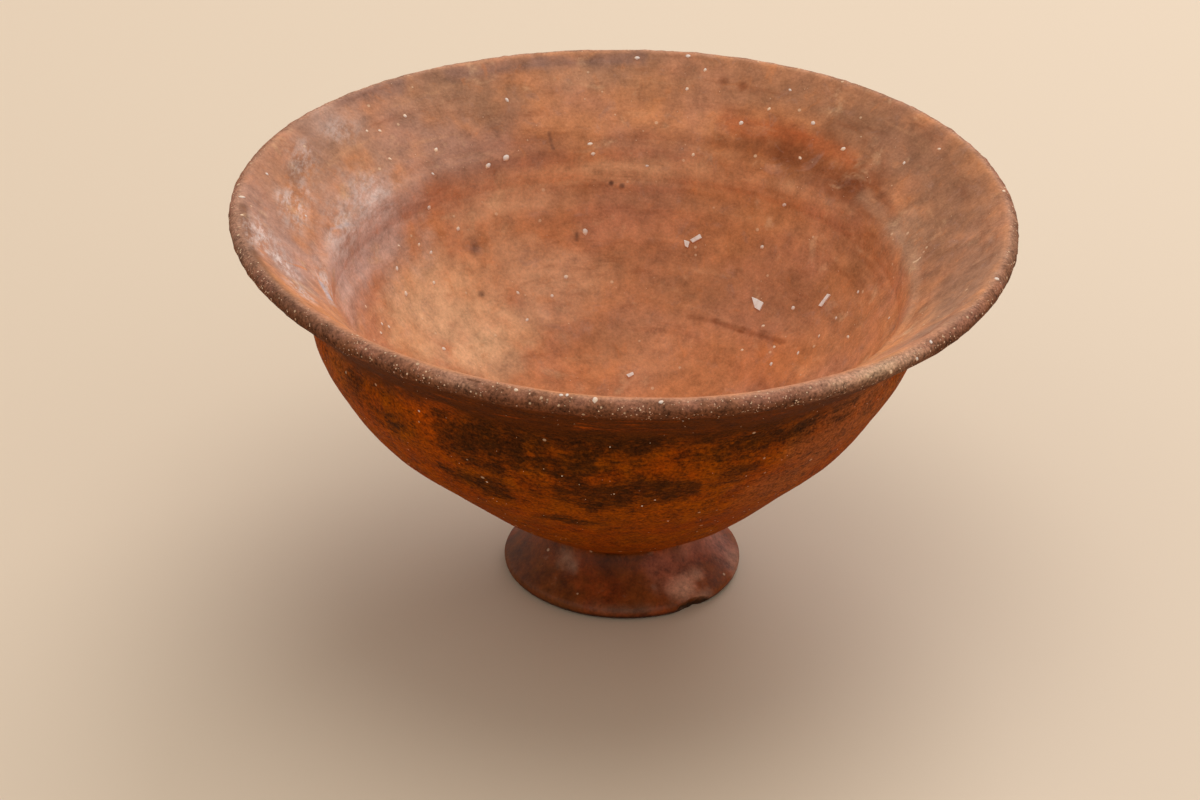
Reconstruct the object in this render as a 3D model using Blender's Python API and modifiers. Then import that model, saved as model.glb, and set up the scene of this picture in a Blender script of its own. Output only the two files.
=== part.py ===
"""A thrown clay bowl with a flared rim, on a small hollow foot.

The bowl is one fired body. Its outer side is drawn as a profile from the lip
down to the foot, its inner side follows at the wall's thickness, and the
profile is turned about the upright axis. A slight lean, a rim a little out of
round and one chip in the foot's edge finish the form.

Metres, +Z up. The origin is the centre of the foot's underside.
"""

from math import atan2, cos, exp, pi, radians, sin, tan

import bpy
from mathutils import Vector

# Driving sizes, in metres.
RIM_RADIUS = 0.0792          # mean widest radius, at the lip
BOWL_HEIGHT = 0.0813         # top of the lip above the underside
LIP_THICKNESS = 0.0040
FLARE_SLOPE = radians(41.0)  # rise of the flared rim above level
NECK_RADIUS = 0.0629         # outer corner where the wall turns out into the rim
NECK_DROP = 0.0167           # that corner below the top of the lip
NECK_BEND = 0.0042           # reach of the rounded corner along both sides
NECK_WALL = 0.0043
BODY_WALL = 0.0060
THICKENING = 0.0120          # height over which the wall gains, below the neck
FLOOR = 0.0066               # thickness of the floor on the axis
WAIST_RADIUS = 0.0166        # narrowest radius, between body and foot
WAIST_HEIGHT = 0.0112
FOOT_RADIUS = 0.0245
FOOT_EDGE = 0.0032           # thickness of the foot's rounded edge
FOOT_SLOPE = radians(35.0)   # fall of the foot's flare where it meets that edge
RESTING_RING = 0.0036        # width of the flat ring that the bowl stands on
HOLLOW_DEPTH = 0.0098        # height of the hollow under the foot
HOLLOW_FULLNESS = 0.8        # below 1, the hollow's sides lean in more

# The finger ridge inside, below the flared rim.
RIDGE_DROP = 0.0175          # below the top of the lip
RIDGE_DEPTH = 0.0006
RIDGE_WIDTH = 0.0022

# What the hand left: the belly leans one way and the foot the other, and the
# rim is out of round: it sways one way, is a little oval and has three lobes.
# Each wave is its lobes, its reach and its bearing.
BELLY_LEAN = -0.0022
LEAN_RISE = 1.2              # above 1, the lean is strongest in the upper body
FOOT_SHIFT = 0.0007
SWAY_REACH = 0.0005
OVAL_REACH = 0.0006
LOBE_REACH = 0.0011
RIM_WAVES = (
    (1, SWAY_REACH, radians(60.0)),
    (2, OVAL_REACH, radians(124.0)),
    (3, LOBE_REACH, radians(44.0)),
)

# The chip in the foot's edge.
CHIP_LENGTH = 0.0115
CHIP_HEIGHT = 0.0030
CHIP_BITE = 0.0012           # how far it reaches in from the edge
CHIP_BEARING = radians(-52.0)

# Outer side of the body between waist and neck: share of the way out, share of
# the way up. A cone with a low rounded belly and an almost upright shoulder.
BODY_SIDE = (
    (0.150, 0.085),
    (0.320, 0.190),
    (0.565, 0.381),
    (0.748, 0.529),
    (0.867, 0.677),
    (0.960, 0.826),
)

# The part of the outer side that the floor spreads under, as stations of it.
FLOOR_STATIONS = 2

ROUND_STEPS = 72
LIP_STEPS = 7
SIDE_STEPS = 2               # points between two stations of the side
FLOOR_STEPS = 5
FOOT_STEPS = 5
EDGE_STEPS = 5

CLAY_COLOR = (0.33, 0.115, 0.045, 1.0)
CLAY_ROUGHNESS = 0.72


def polar(center, radius, angle):
    """The point at an angle around a center in the profile's plane."""
    return center + radius * Vector((cos(angle), sin(angle)))


def arc(center, radius, start, end, steps):
    """Points along an arc, both ends included."""
    return [polar(center, radius, start + (end - start) * i / steps) for i in range(steps + 1)]


def bezier(start, corner, end, steps):
    """Points along a bend that leaves start and reaches end aiming at corner."""
    points = []
    for i in range(steps + 1):
        t = i / steps
        points.append((1 - t) ** 2 * start + 2 * t * (1 - t) * corner + t ** 2 * end)
    return points


def smooth_line(stations, steps):
    """A smooth curve through the stations, with the given steps between two."""
    first = 2 * stations[0] - stations[1]
    last = 2 * stations[-1] - stations[-2]
    padded = [first, *stations, last]
    points = [stations[0]]
    for before, start, end, after in zip(padded, padded[1:], padded[2:], padded[3:]):
        for i in range(1, steps + 1):
            t = i / steps
            points.append(0.5 * (
                2 * start
                + (end - before) * t
                + (2 * before - 5 * start + 4 * end - after) * t ** 2
                + (3 * start - before - 3 * end + after) * t ** 3
            ))
    return points


def lip_center():
    """The middle of the lip's rounded edge."""
    half = LIP_THICKNESS / 2
    return Vector((RIM_RADIUS - half, BOWL_HEIGHT - half))


def neck():
    """The outer corner between the wall and the flared rim."""
    return Vector((NECK_RADIUS, BOWL_HEIGHT - NECK_DROP))


def outer_side():
    """The outer side from under the lip down to the waist."""
    waist = Vector((WAIST_RADIUS, WAIST_HEIGHT))
    reach = neck() - waist
    body = [waist]
    for out, up in BODY_SIDE:
        body.append(waist + Vector((out * reach.x, up * reach.y)))
    body.append(neck())
    side = smooth_line(body[::-1], SIDE_STEPS)

    under_lip = polar(lip_center(), LIP_THICKNESS / 2, FLARE_SLOPE - pi / 2)
    flare = under_lip - neck()
    wall = (side[SIDE_STEPS] - neck()).normalized()
    bend_start = neck() + flare.normalized() * NECK_BEND
    bend_end = neck() + wall * NECK_BEND
    rim = [under_lip.lerp(bend_start, i / SIDE_STEPS) for i in range(SIDE_STEPS)]
    bend = bezier(bend_start, neck(), bend_end, SIDE_STEPS + 1)
    below = [p for p in side if p.y < bend_end.y - NECK_BEND / 2]
    return rim + bend + below


def thickness(height):
    """The wall at a height: thin at the lip, thicker down in the body."""
    neck_height = neck().y
    if height > neck_height:
        rise = (height - neck_height) / (BOWL_HEIGHT - neck_height)
        return NECK_WALL + (LIP_THICKNESS - NECK_WALL) * rise
    fall = min((neck_height - height) / THICKENING, 1.0)
    ridge = RIDGE_DEPTH * exp(-((height - BOWL_HEIGHT + RIDGE_DROP) / RIDGE_WIDTH) ** 2)
    return NECK_WALL + (BODY_WALL - NECK_WALL) * fall + ridge


def inner_side(outer):
    """The inner side from the floor's center up to the lip.

    It stands off the outer side by the wall, and becomes a dish over the foot.
    """
    over_floor = len(outer) - 1 - FLOOR_STATIONS * SIDE_STEPS
    side = []
    for i in range(1, over_floor + 1):
        along = (outer[i + 1] - outer[i - 1]).normalized()
        inward = Vector((along.y, -along.x))
        side.append(outer[i] + inward * thickness(outer[i].y))

    floor_top = HOLLOW_DEPTH + FLOOR
    edge = side[-1]
    floor = []
    for i in range(FLOOR_STEPS):
        share = i / FLOOR_STEPS
        floor.append(Vector((edge.x * share, floor_top + (edge.y - floor_top) * share ** 2)))
    return floor + side[::-1]


def foot():
    """The foot from below the waist, round its edge and up into its hollow."""
    half_edge = FOOT_EDGE / 2
    edge_center = Vector((FOOT_RADIUS - half_edge, half_edge))
    edge_start = pi / 2 - FOOT_SLOPE
    edge_top = polar(edge_center, half_edge, edge_start)
    fall = (edge_top.x - WAIST_RADIUS) * tan(FOOT_SLOPE)
    corner = Vector((WAIST_RADIUS, edge_top.y + fall))
    waist = Vector((WAIST_RADIUS, WAIST_HEIGHT))
    trumpet = bezier(waist, corner, edge_top, FOOT_STEPS)[1:-1]
    edge = arc(edge_center, half_edge, edge_start, -pi / 2, EDGE_STEPS)
    ring_inner = Vector((edge_center.x - RESTING_RING, 0.0))
    hollow_corner = Vector((ring_inner.x * HOLLOW_FULLNESS, HOLLOW_DEPTH))
    hollow = bezier(ring_inner, hollow_corner, Vector((0.0, HOLLOW_DEPTH)), FOOT_STEPS + 1)
    return trumpet + edge + hollow


def bowl_profile():
    """The whole outline: up the inner side, over the lip, down to the foot."""
    outer = outer_side()
    lip_radius = LIP_THICKNESS / 2
    lip = arc(lip_center(), lip_radius, FLARE_SLOPE + pi / 2, FLARE_SLOPE - pi / 2, LIP_STEPS)
    return inner_side(outer) + lip + outer[1:] + foot()


def turned(name, profile):
    """A closed mesh object: the profile turned about the upright axis."""
    mesh = bpy.data.meshes.new(name)
    points = [(p.x, 0.0, p.y) for p in profile]
    edges = [(i, i + 1) for i in range(len(points) - 1)]
    mesh.from_pydata(points, edges, [])
    turning = bpy.data.objects.new(name, mesh)
    bpy.context.scene.collection.objects.link(turning)

    screw = turning.modifiers.new("turn", "SCREW")
    screw.axis = "Z"
    screw.steps = ROUND_STEPS
    screw.render_steps = ROUND_STEPS
    screw.use_merge_vertices = True
    screw.merge_threshold = 0.00001
    screw.use_smooth_shade = True

    bpy.context.view_layer.update()
    evaluated = turning.evaluated_get(bpy.context.evaluated_depsgraph_get())
    solid = bpy.data.meshes.new_from_object(evaluated)
    bpy.data.objects.remove(turning)
    bpy.data.meshes.remove(mesh)
    solid.name = name
    return bpy.data.objects.new(name, solid)


def hand_shaped(mesh):
    """Lean the belly, shift the foot and draw the rim out of round."""
    for vertex in mesh.vertices:
        point = vertex.co
        height = point.z / BOWL_HEIGHT
        bearing = atan2(point.y, point.x)
        wave = sum(reach * cos(lobes * (bearing - start)) for lobes, reach, start in RIM_WAVES)
        spread = 1 + wave * height ** 2 / RIM_RADIUS
        lean = BELLY_LEAN * sin(pi * height ** LEAN_RISE) ** 2 + FOOT_SHIFT * (1 - height) ** 2
        vertex.co = (point.x * spread + lean, point.y * spread, point.z)


def chip_cutter():
    """The tool that takes the chip out of the foot's edge."""
    bpy.ops.mesh.primitive_ico_sphere_add(subdivisions=2, radius=1.0)
    cutter = bpy.context.object
    cutter.name = "foot_chip"
    distance = FOOT_RADIUS + CHIP_BITE
    reach = distance - (FOOT_RADIUS - CHIP_BITE)
    cutter.scale = (CHIP_LENGTH / 2, reach, CHIP_HEIGHT)
    cutter.rotation_euler = (0.0, 0.0, CHIP_BEARING + pi / 2)
    cutter.location = (distance * cos(CHIP_BEARING), distance * sin(CHIP_BEARING), 0.0)
    cutter.hide_render = True
    cutter.display_type = "WIRE"
    return cutter


def clay():
    """Coarse red clay, fired and left unglazed."""
    material = bpy.data.materials.new("fired_clay")
    material.use_nodes = True
    shader = material.node_tree.nodes["Principled BSDF"]
    shader.inputs["Base Color"].default_value = CLAY_COLOR
    shader.inputs["Roughness"].default_value = CLAY_ROUGHNESS
    shader.inputs["Metallic"].default_value = 0.0
    return material


def collection(name):
    """A new collection in the scene."""
    made = bpy.data.collections.new(name)
    bpy.context.scene.collection.children.link(made)
    return made


def move_to(target, item):
    """Put an object in one collection alone."""
    for holder in list(item.users_collection):
        holder.objects.unlink(item)
    target.objects.link(item)


def main():
    for item in list(bpy.data.objects):
        bpy.data.objects.remove(item, do_unlink=True)

    vessel = collection("pottery_bowl")
    cutters = collection("cutters")

    bowl = turned("bowl", bowl_profile())
    hand_shaped(bowl.data)
    bowl.data.materials.append(clay())
    vessel.objects.link(bowl)

    chip = chip_cutter()
    move_to(cutters, chip)
    cut = bowl.modifiers.new("chip", "BOOLEAN")
    cut.operation = "DIFFERENCE"
    cut.solver = "EXACT"
    cut.object = chip


main()
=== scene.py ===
"""The pottery bowl, dressed: thrown surface, washes, soot, grit and film."""

from math import cos, exp, pi, radians, sin, tan

import bpy
import numpy as np
from mathutils import Matrix, Vector
from mathutils.bvhtree import BVHTree


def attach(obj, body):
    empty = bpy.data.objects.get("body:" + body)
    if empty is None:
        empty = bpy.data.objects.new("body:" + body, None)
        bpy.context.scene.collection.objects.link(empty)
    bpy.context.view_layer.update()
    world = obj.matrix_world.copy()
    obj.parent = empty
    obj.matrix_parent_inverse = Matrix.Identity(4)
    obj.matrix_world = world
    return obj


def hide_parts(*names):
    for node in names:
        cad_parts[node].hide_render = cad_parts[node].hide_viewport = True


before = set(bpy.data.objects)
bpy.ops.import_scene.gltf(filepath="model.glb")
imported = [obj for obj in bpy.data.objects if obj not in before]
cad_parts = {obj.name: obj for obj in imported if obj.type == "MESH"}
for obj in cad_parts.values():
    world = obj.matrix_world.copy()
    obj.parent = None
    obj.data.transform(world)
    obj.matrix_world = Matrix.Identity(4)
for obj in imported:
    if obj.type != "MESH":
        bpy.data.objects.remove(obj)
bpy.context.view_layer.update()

# The form, in metres, as the solid has it.
RIM_RADIUS = 0.0792
BOWL_HEIGHT = 0.0813
LIP_THICKNESS = 0.0040
FLARE_SLOPE = radians(41.0)
NECK_RADIUS = 0.0629
NECK_DROP = 0.0167
NECK_BEND = 0.0042
NECK_WALL = 0.0043
BODY_WALL = 0.0060
THICKENING = 0.0120
FLOOR = 0.0066
WAIST_RADIUS = 0.0166
WAIST_HEIGHT = 0.0112
FOOT_RADIUS = 0.0245
FOOT_EDGE = 0.0032
FOOT_SLOPE = radians(35.0)
RESTING_RING = 0.0036
HOLLOW_DEPTH = 0.0098
HOLLOW_FULLNESS = 0.8
RIDGE_DROP = 0.0175
RIDGE_DEPTH = 0.0006
RIDGE_WIDTH = 0.0022
BELLY_LEAN = -0.0022
LEAN_RISE = 1.2
FOOT_SHIFT = 0.0007
RIM_WAVES = (
    (1, 0.0005, radians(60.0)),
    (2, 0.0006, radians(124.0)),
    (3, 0.0011, radians(44.0)),
)
CHIP_LENGTH = 0.0115
CHIP_HEIGHT = 0.0030
CHIP_BITE = 0.0012
CHIP_BEARING = radians(-52.0)
BODY_SIDE = (
    (0.150, 0.085),
    (0.320, 0.190),
    (0.565, 0.381),
    (0.748, 0.529),
    (0.867, 0.677),
    (0.960, 0.826),
)
FLOOR_STATIONS = 2

# How fine the dressed surface is.
ROUND_STEPS = 400
LIP_STEPS = 16
SIDE_STEPS = 10
FLOOR_STEPS = 20
FOOT_STEPS = 16
EDGE_STEPS = 14
WELD = 0.000005              # points closer than this become one

# Finger rings left inside by throwing: height, depth (below 0, a ridge), half width.
THROWING_RINGS = (
    (0.0705, 0.00010, 0.0012),
    (0.0672, -0.00008, 0.0010),
    (0.0560, -0.00016, 0.0018),
    (0.0512, 0.00012, 0.0016),
    (0.0440, -0.00012, 0.0020),
    (0.0385, 0.00012, 0.0018),
    (0.0310, 0.00014, 0.0014),
    (0.0262, -0.00012, 0.0014),
)

# The photograph's frame and the eye that took it.
PHOTO_WIDTH = 1200
PHOTO_HEIGHT = 800
FOCAL_PIXELS = 4530.1        # the lens's length in the photograph's pixels
EYE = Vector((-0.00453, -0.81152, 0.48597))
EYE_PITCH = radians(28.903)
EYE_ROLL = radians(1.064)
SENSOR = 36.0
NEAR_CLIP = 0.01


def polar(center, radius, angle):
    """The point at an angle around a center in the profile's plane."""
    return center + radius * Vector((cos(angle), sin(angle)))


def arc(center, radius, start, end, steps):
    """Points along an arc, both ends included."""
    return [polar(center, radius, start + (end - start) * i / steps) for i in range(steps + 1)]


def bezier(start, corner, end, steps):
    """Points along a bend that leaves start and reaches end aiming at corner."""
    points = []
    for i in range(steps + 1):
        t = i / steps
        points.append((1 - t) ** 2 * start + 2 * t * (1 - t) * corner + t ** 2 * end)
    return points


def smooth_line(stations, steps):
    """A smooth curve through the stations, with the given steps between two."""
    first = 2 * stations[0] - stations[1]
    last = 2 * stations[-1] - stations[-2]
    padded = [first, *stations, last]
    points = [stations[0]]
    for before, start, end, after in zip(padded, padded[1:], padded[2:], padded[3:]):
        for i in range(1, steps + 1):
            t = i / steps
            points.append(0.5 * (
                2 * start
                + (end - before) * t
                + (2 * before - 5 * start + 4 * end - after) * t ** 2
                + (3 * start - before - 3 * end + after) * t ** 3
            ))
    return points


def lip_center():
    """The middle of the lip's rounded edge."""
    half = LIP_THICKNESS / 2
    return Vector((RIM_RADIUS - half, BOWL_HEIGHT - half))


def neck():
    """The outer corner between the wall and the flared rim."""
    return Vector((NECK_RADIUS, BOWL_HEIGHT - NECK_DROP))


def outer_side():
    """The outer side from under the lip down to the waist."""
    waist = Vector((WAIST_RADIUS, WAIST_HEIGHT))
    reach = neck() - waist
    body = [waist]
    for out, up in BODY_SIDE:
        body.append(waist + Vector((out * reach.x, up * reach.y)))
    body.append(neck())
    side = smooth_line(body[::-1], SIDE_STEPS)

    under_lip = polar(lip_center(), LIP_THICKNESS / 2, FLARE_SLOPE - pi / 2)
    flare = under_lip - neck()
    wall = (side[SIDE_STEPS] - neck()).normalized()
    bend_start = neck() + flare.normalized() * NECK_BEND
    bend_end = neck() + wall * NECK_BEND
    rim = [under_lip.lerp(bend_start, i / SIDE_STEPS) for i in range(SIDE_STEPS)]
    bend = bezier(bend_start, neck(), bend_end, SIDE_STEPS + 1)
    below = [p for p in side if p.y < bend_end.y - NECK_BEND / 20]
    return rim + bend + below


def thickness(height):
    """The wall at a height: thin at the lip, thicker down in the body."""
    neck_height = neck().y
    if height > neck_height:
        rise = (height - neck_height) / (BOWL_HEIGHT - neck_height)
        return NECK_WALL + (LIP_THICKNESS - NECK_WALL) * rise
    fall = min((neck_height - height) / THICKENING, 1.0)
    ridge = RIDGE_DEPTH * exp(-((height - BOWL_HEIGHT + RIDGE_DROP) / RIDGE_WIDTH) ** 2)
    return NECK_WALL + (BODY_WALL - NECK_WALL) * fall + ridge


def ring_depth(height):
    """How much the finger rings take off the inner side at a height."""
    return sum(d * exp(-((height - at) / width) ** 2) for at, d, width in THROWING_RINGS)


def inner_side(outer):
    """The inner side from the floor's center up to the lip."""
    over_floor = len(outer) - 1 - FLOOR_STATIONS * SIDE_STEPS
    side = []
    for i in range(1, over_floor + 1):
        along = (outer[i + 1] - outer[i - 1]).normalized()
        inward = Vector((along.y, -along.x))
        point = outer[i] + inward * thickness(outer[i].y)
        side.append(point - inward * ring_depth(point.y))

    floor_top = HOLLOW_DEPTH + FLOOR
    edge = side[-1]
    floor = []
    for i in range(FLOOR_STEPS):
        share = i / FLOOR_STEPS
        floor.append(Vector((edge.x * share, floor_top + (edge.y - floor_top) * share ** 2)))
    return floor + side[::-1]


def foot():
    """The foot from below the waist, round its edge and up into its hollow."""
    half_edge = FOOT_EDGE / 2
    edge_center = Vector((FOOT_RADIUS - half_edge, half_edge))
    edge_start = pi / 2 - FOOT_SLOPE
    edge_top = polar(edge_center, half_edge, edge_start)
    fall = (edge_top.x - WAIST_RADIUS) * tan(FOOT_SLOPE)
    corner = Vector((WAIST_RADIUS, edge_top.y + fall))
    waist = Vector((WAIST_RADIUS, WAIST_HEIGHT))
    trumpet = bezier(waist, corner, edge_top, FOOT_STEPS)[1:-1]
    edge = arc(edge_center, half_edge, edge_start, -pi / 2, EDGE_STEPS)
    ring_inner = Vector((edge_center.x - RESTING_RING, 0.0))
    hollow_corner = Vector((ring_inner.x * HOLLOW_FULLNESS, HOLLOW_DEPTH))
    hollow = bezier(ring_inner, hollow_corner, Vector((0.0, HOLLOW_DEPTH)), FOOT_STEPS + 1)
    return trumpet + edge + hollow


def smooth_step(low, high, value):
    """0 below low, 1 above high, and an S-curve between."""
    t = min(max((value - low) / (high - low), 0.0), 1.0)
    return t * t * (3 - 2 * t)


PROFILE_MARKS = ("inside", "lip", "crest", "foot", "run")
LIP_BLEND = 0.0016           # how softly the lip's finish starts and ends
CREST_REACH = 0.0007         # half width of the pale line along the lip's top: wear and painted sheen
FOOT_BLEND = 0.0030          # how far the foot's finish runs up the body


def note(mesh, name, values, kind="FLOAT", field="value"):
    """Keeps a value for each point of a mesh under a name."""
    layer = mesh.attributes.new(name, kind, "POINT")
    layer.data.foreach_set(field, np.array(values, np.float32).ravel())


def profile_line():
    """The outline as a line of points that know where on the bowl they are."""
    outer = outer_side()
    roll = arc(lip_center(), LIP_THICKNESS / 2, FLARE_SLOPE + pi / 2, FLARE_SLOPE - pi / 2,
               LIP_STEPS)
    inner = inner_side(outer)
    points = inner + roll + outer[1:] + foot()
    runs = np.cumsum([0.0] + [(b - a).length for a, b in zip(points, points[1:])])

    lip_last = runs[len(inner) + LIP_STEPS]
    waist_run = runs[len(inner) + LIP_STEPS + len(outer) - 1]
    top = runs[max(range(len(points)), key=lambda i: points[i].y)]
    inside = [1 - smooth_step(top, lip_last, s) for s in runs]
    lip = [smooth_step(top - LIP_BLEND / 2, top + LIP_BLEND / 2, s)
           - smooth_step(lip_last - LIP_BLEND, lip_last + LIP_BLEND, s) for s in runs]
    crest = [exp(-((s - top) / CREST_REACH) ** 2) for s in runs]
    on_foot = [smooth_step(waist_run - FOOT_BLEND, waist_run + FOOT_BLEND / 3, s) for s in runs]

    mesh = bpy.data.meshes.new("profile")
    edges = [(i, i + 1) for i in range(len(points) - 1)]
    mesh.from_pydata([(p.x, 0.0, p.y) for p in points], edges, [])
    for name, values in zip(PROFILE_MARKS, (inside, lip, crest, on_foot, runs)):
        note(mesh, name, values)
    return mesh


# Node work, the same for shapes and for finishes.


def socket_of(sockets, name):
    """The socket in use that has this name or number."""
    if isinstance(name, int):
        return sockets[name]
    named = [s for s in sockets if s.name == name]
    return next((s for s in named if s.enabled), named[0])


class Bench:
    """A node tree, with short ways to put nodes on it."""

    def __init__(self, tree):
        self.tree = tree

    def put(self, kind, feeds=None, out=0, **settings):
        """A new node with its settings and inputs, given back as one of its outputs."""
        node = self.tree.nodes.new(kind)
        for name, value in settings.items():
            setattr(node, name, value)
        for name, value in (feeds or {}).items():
            self.feed(socket_of(node.inputs, name), value)
        return socket_of(node.outputs, out) if len(node.outputs) else node

    def feed(self, socket, value):
        if isinstance(value, bpy.types.NodeSocket):
            self.tree.links.new(value, socket)
        else:
            socket.default_value = value

    def calc(self, operation, *values, clamp=False):
        feeds = dict(enumerate(values))
        return self.put("ShaderNodeMath", feeds, operation=operation, use_clamp=clamp)

    def times(self, first, *others):
        """The product of all the values."""
        for other in others:
            first = self.calc("MULTIPLY", first, other)
        return first

    def vector(self, operation, *values, out=0):
        feeds = dict(enumerate(values))
        return self.put("ShaderNodeVectorMath", feeds, out=out, operation=operation)

    def scaled(self, vector, factor):
        """A vector made longer by a factor."""
        longer = self.vector("SCALE", vector)
        self.feed(socket_of(longer.node.inputs, "Scale"), factor)
        return longer

    def split(self, vector):
        """The vector's x, y and z."""
        return self.put("ShaderNodeSeparateXYZ", {0: vector}).node.outputs

    def noise(self, where, scale, detail=3.0, roughness=0.5, distortion=0.0):
        feeds = {"Vector": where, "Scale": scale, "Detail": detail, "Roughness": roughness,
                 "Distortion": distortion}
        return self.put("ShaderNodeTexNoise", feeds)

    def swing(self, where, *kind):
        """Noise around 0."""
        return self.calc("SUBTRACT", self.noise(where, *kind), 0.5)

    def lot(self, low, high, seed):
        """A number drawn for each point."""
        return self.put("FunctionNodeRandomValue", {"Min": low, "Max": high, "Seed": seed},
                        out="Value", data_type="FLOAT")

    def ramp(self, value, low, high, to_low=0.0, to_high=1.0, smooth=True):
        """Value read from low..high and put on to_low..to_high, held at the ends."""
        feeds = {"Value": value, "From Min": low, "From Max": high, "To Min": to_low,
                 "To Max": to_high}
        kind = "SMOOTHSTEP" if smooth else "LINEAR"
        return self.put("ShaderNodeMapRange", feeds, interpolation_type=kind)

    def blend(self, share, under, over, mode="MIX"):
        """Two colors mixed: all under at 0, all over at 1."""
        feeds = {0: share, 6: under, 7: over}
        return self.put("ShaderNodeMix", feeds, out=2, data_type="RGBA", blend_type=mode)

    def lay(self, under, over, value, low, high, most=1.0):
        """A color laid over another as the value goes from low to high."""
        return self.blend(self.ramp(value, low, high, 0.0, most), under, over)

    def shape(self, kind, feeds=None, out=0, **settings):
        """A geometry node."""
        return self.put("GeometryNode" + kind, feeds, out=out, **settings)

    def kept(self, name, kind="FLOAT"):
        """What the points keep under a name."""
        return self.shape("InputNamedAttribute", {"Name": name}, data_type=kind)

    def keep(self, geometry, name, value, kind="FLOAT"):
        """The geometry with a value kept on its points under a name."""
        return self.shape("StoreNamedAttribute", {
            "Geometry": geometry, "Name": name, "Value": value,
        }, data_type=kind, domain="POINT")

    def hand_over(self, geometry, material, socket):
        """Ends a tree with plain geometry, shaded smooth and in its finish."""
        plain = self.shape("RealizeInstances", {"Geometry": geometry})
        smooth = self.shape("SetShadeSmooth", {"Geometry": plain, "Shade Smooth": True})
        self.feed(socket, self.shape("SetMaterial", {"Geometry": smooth, "Material": material}))
        return self.tree


NUMBER_KINDS = {float: "Float", int: "Int"}


def new_tree(name, family, inputs, outputs):
    """An empty node group: its bench, its inputs and its output node.

    A socket is told by its kind or, where it holds a number, by the number it starts from.
    """
    tree = bpy.data.node_groups.new(name, family + "NodeTree")
    for side, sockets in (("INPUT", inputs), ("OUTPUT", outputs)):
        for label, told in sockets.items():
            kind = NUMBER_KINDS.get(type(told), told)
            made = tree.interface.new_socket(label, in_out=side, socket_type="NodeSocket" + kind)
            if kind != told:
                made.default_value = told
    given = tree.nodes.new("NodeGroupInput").outputs
    result = tree.nodes.new("NodeGroupOutput").inputs
    return Bench(tree), given, result


# The body, turned on the wheel. Unevenness of its surface: scale, detail and, for some,
# roughness of the noise.

LUMPS = (55.0, 2.0)
DENTS = (170.0, 2.0)
WIPING = (90.0, 2.0)
WEAR = (420.0, 3.0, 0.6)
CHIP_ROUGHNESS = (600.0, 2.0)
DENT_SHARE = 0.45            # how deep the dents are beside the lumps
WIPE_FLATNESS = 7.0          # how much longer than high the wiping marks are
CALM_HEIGHT = 0.0012         # below this the relief fades, so that the foot stands flat
FRESH_DEPTH = 0.0003         # from this depth on a chip shows fresh clay all over


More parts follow.
